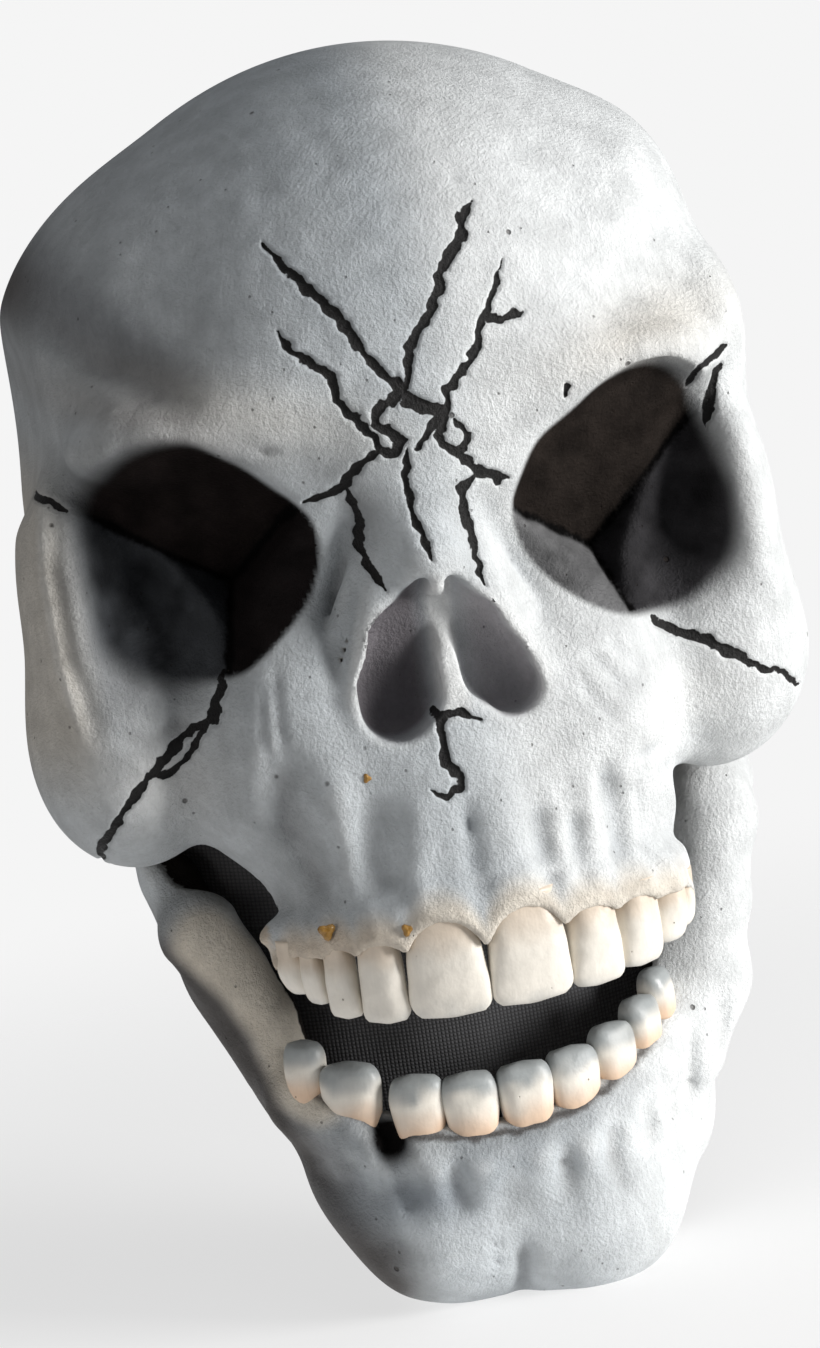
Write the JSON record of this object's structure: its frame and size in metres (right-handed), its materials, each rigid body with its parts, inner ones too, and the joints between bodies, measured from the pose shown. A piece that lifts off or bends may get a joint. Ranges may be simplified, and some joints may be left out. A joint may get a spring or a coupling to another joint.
{
  "type": "latex halloween mask",
  "caption": "Open-mouthed cracked skull face mask: latex shell, hinged lower jaw, separate cast teeth, dark mouth screen, foam pads and an elastic head band.",
  "frame": {"origin": "bottom centre of the whole mask's box: under the chin, half way from the front teeth to the back of the head band", "axes": "+X towards the right of someone who looks at the face, +Y from the face to the back of the head, +Z from the chin to the crown"},
  "size_m": [0.2178, 0.2278, 0.3498],
  "materials": {
    "latex": "matt painted, brushed texture",
    "tooth": "satin painted",
    "screen": "matt fine mesh",
    "foam": "matt open-cell foam",
    "elastic": "matt ribbed webbing",
    "steel": "satin",
    "nylon": "matt"
  },
  "bodies": {
    "skull": {"skull_skin": "latex", "upper_central_left": "tooth", "upper_central_right": "tooth", "upper_lateral_left": "tooth", "upper_lateral_right": "tooth", "upper_canine_left": "tooth", "upper_canine_right": "tooth", "upper_premolar_left": "tooth", "upper_premolar_right": "tooth", "upper_molar_left": "tooth", "upper_molar_right": "tooth", "mouth_screen": "screen", "brow_pad": "foam", "crown_pad": "foam", "temple_pad_left": "foam", "temple_pad_right": "foam", "jaw_rivet_left": "steel", "jaw_rivet_right": "steel", "jaw_spacer_left": "nylon", "jaw_spacer_right": "nylon", "band_rivet_left": "steel", "band_rivet_right": "steel", "band_washer_left": "steel", "band_washer_right": "steel"},
    "jaw": {"jaw_skin": "latex", "lower_central_left": "tooth", "lower_central_right": "tooth", "lower_lateral_left": "tooth", "lower_lateral_right": "tooth", "lower_canine_right": "tooth", "lower_premolar_left": "tooth", "lower_premolar_right": "tooth", "lower_molar_left": "tooth", "lower_molar_right": "tooth", "chin_pad": "foam"},
    "band": {"head_band": "elastic"},
    "slider": {"band_slider": "nylon"}
  },
  "joints": [
    {"name": "jaw_hinge", "type": "hinge", "parent": "skull", "child": "jaw", "pos_m": [0, -0.0143, 0.1601], "axis": [1, 0, 0], "range_deg": [-12, 8]},
    {"name": "band_swing", "type": "hinge", "parent": "skull", "child": "band", "pos_m": [0, 0.0157, 0.2201], "axis": [1, 0, 0], "range_deg": [-60, 50]},
    {"name": "slider_travel", "type": "slide", "parent": "band", "child": "slider", "axis": [1, 0, 0], "range_m": [-0.02, 0.02]}
  ]
}
